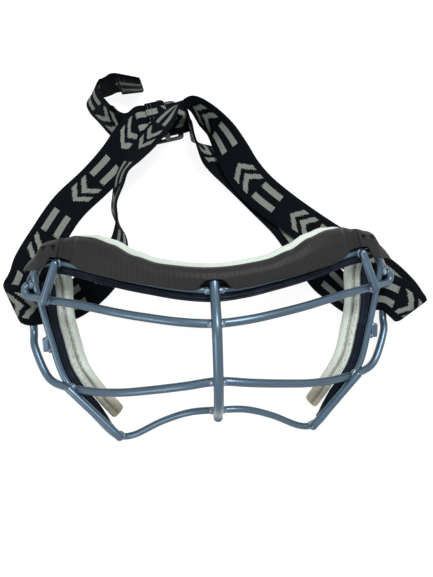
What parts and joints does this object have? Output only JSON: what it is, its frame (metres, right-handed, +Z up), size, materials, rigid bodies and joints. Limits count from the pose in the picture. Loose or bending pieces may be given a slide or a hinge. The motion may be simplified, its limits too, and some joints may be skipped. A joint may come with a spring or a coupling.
{
  "type": "lacrosse goggles",
  "caption": "Women's lacrosse goggles: welded wire cage with a moulded brow cover, foam face pads on a rubber carrier, and an elastic strap with a slide.",
  "frame": {"origin": "on the table under the middle of the whole part, goggles and strap together", "axes": "+Z up from the table, +X along the part's width to the wearer's right side of the picture, +Y from the goggles towards the strap"},
  "size_m": [0.2228, 0.1932, 0.0568],
  "materials": {
    "wire_paint": "satin",
    "cover_plastic": "matte",
    "carrier_rubber": "matte",
    "pad_fabric": "soft",
    "webbing": "woven",
    "slide_plastic": "satin"
  },
  "bodies": {
    "goggles": {"rim_wire": "wire_paint", "upper_bar": "wire_paint", "lower_bar": "wire_paint", "centre_bar": "wire_paint", "left_side_link": "wire_paint", "right_side_link": "wire_paint", "left_cheek_bar": "wire_paint", "right_cheek_bar": "wire_paint", "rim_tabs": "wire_paint", "brow_cover": "cover_plastic", "brow_rail": "carrier_rubber", "left_rail": "carrier_rubber", "right_rail": "carrier_rubber", "brow_pad": "pad_fabric", "left_side_pad": "pad_fabric", "right_side_pad": "pad_fabric", "left_outer_strap": "webbing", "cross_strap": "webbing", "right_inner_strap": "webbing", "strap_tail": "webbing", "strap_hem": "webbing"},
    "slide": {"slide_frame": "slide_plastic", "sewn_loop": "webbing"}
  },
  "joints": [
    {"name": "slide_travel", "type": "slide", "parent": "goggles", "child": "slide", "axis": [0.9781, 0.2079, 0], "range_m": [-0.006, 0]}
  ]
}
